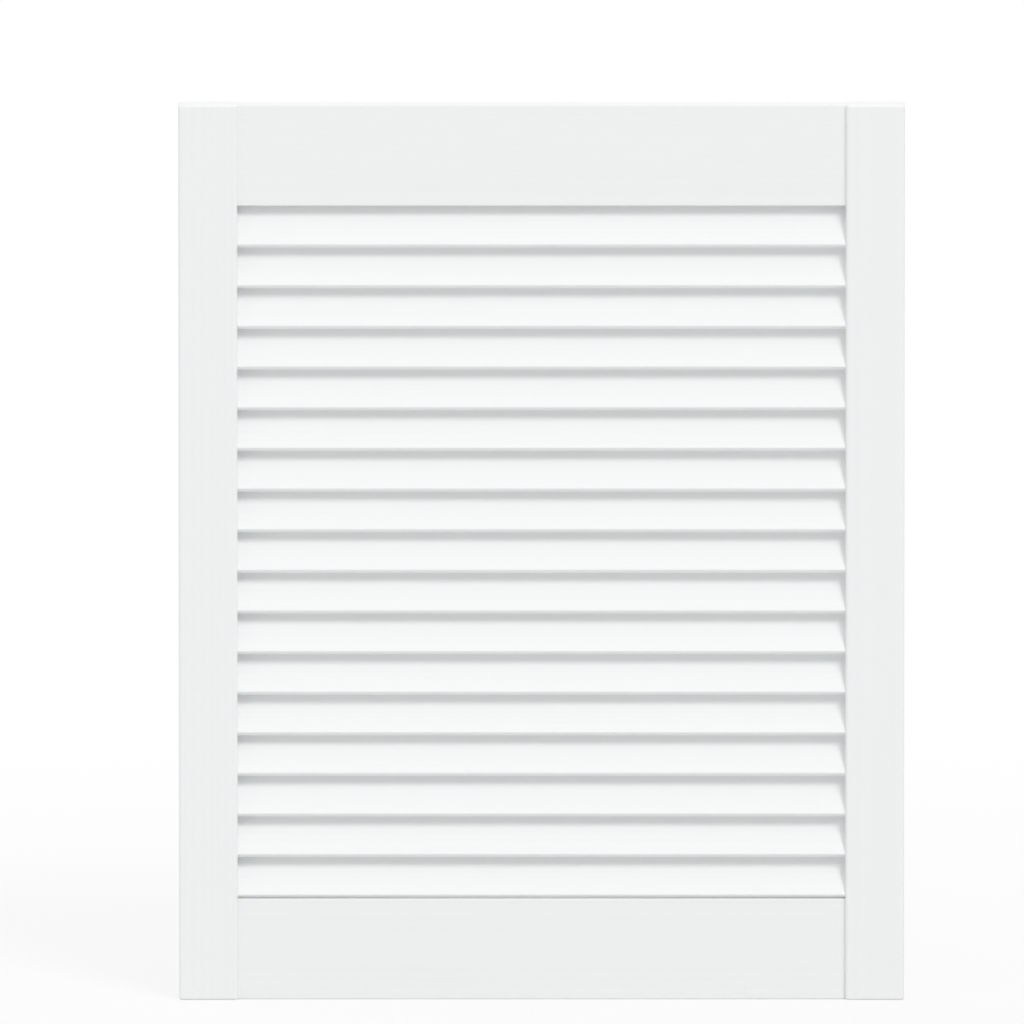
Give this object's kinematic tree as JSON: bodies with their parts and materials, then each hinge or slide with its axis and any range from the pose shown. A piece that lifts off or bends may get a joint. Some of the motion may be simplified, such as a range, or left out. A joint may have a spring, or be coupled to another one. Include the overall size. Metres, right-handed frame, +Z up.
{
  "type": "louvred cupboard door leaf",
  "caption": "White lacquered pine cupboard door leaf: stiles and set-back rails frame a bank of fixed slanted louvre slats seated in slots in the stiles.",
  "frame": {"origin": "on the outer edge of the left stile (the hinge edge), at mid-height and mid-thickness", "axes": "+X from the hinge edge to the closing edge, +Y to the back, +Z up; the front faces -Y"},
  "size_m": [0.494, 0.021, 0.615],
  "materials": {
    "stile_lacquer": "satin white lacquer on pine",
    "rail_lacquer": "satin white lacquer on pine",
    "slat_lacquer": "satin white lacquer on pine"
  },
  "bodies": {
    "root": {"left_stile": "stile_lacquer", "right_stile": "stile_lacquer", "top_rail": "rail_lacquer", "bottom_rail": "rail_lacquer", "slat_01": "slat_lacquer", "slat_02": "slat_lacquer", "slat_03": "slat_lacquer", "slat_04": "slat_lacquer", "slat_05": "slat_lacquer", "slat_06": "slat_lacquer", "slat_07": "slat_lacquer", "slat_08": "slat_lacquer", "slat_09": "slat_lacquer", "slat_10": "slat_lacquer", "slat_11": "slat_lacquer", "slat_12": "slat_lacquer", "slat_13": "slat_lacquer", "slat_14": "slat_lacquer", "slat_15": "slat_lacquer", "slat_16": "slat_lacquer", "slat_17": "slat_lacquer"}
  },
  "joints": []
}
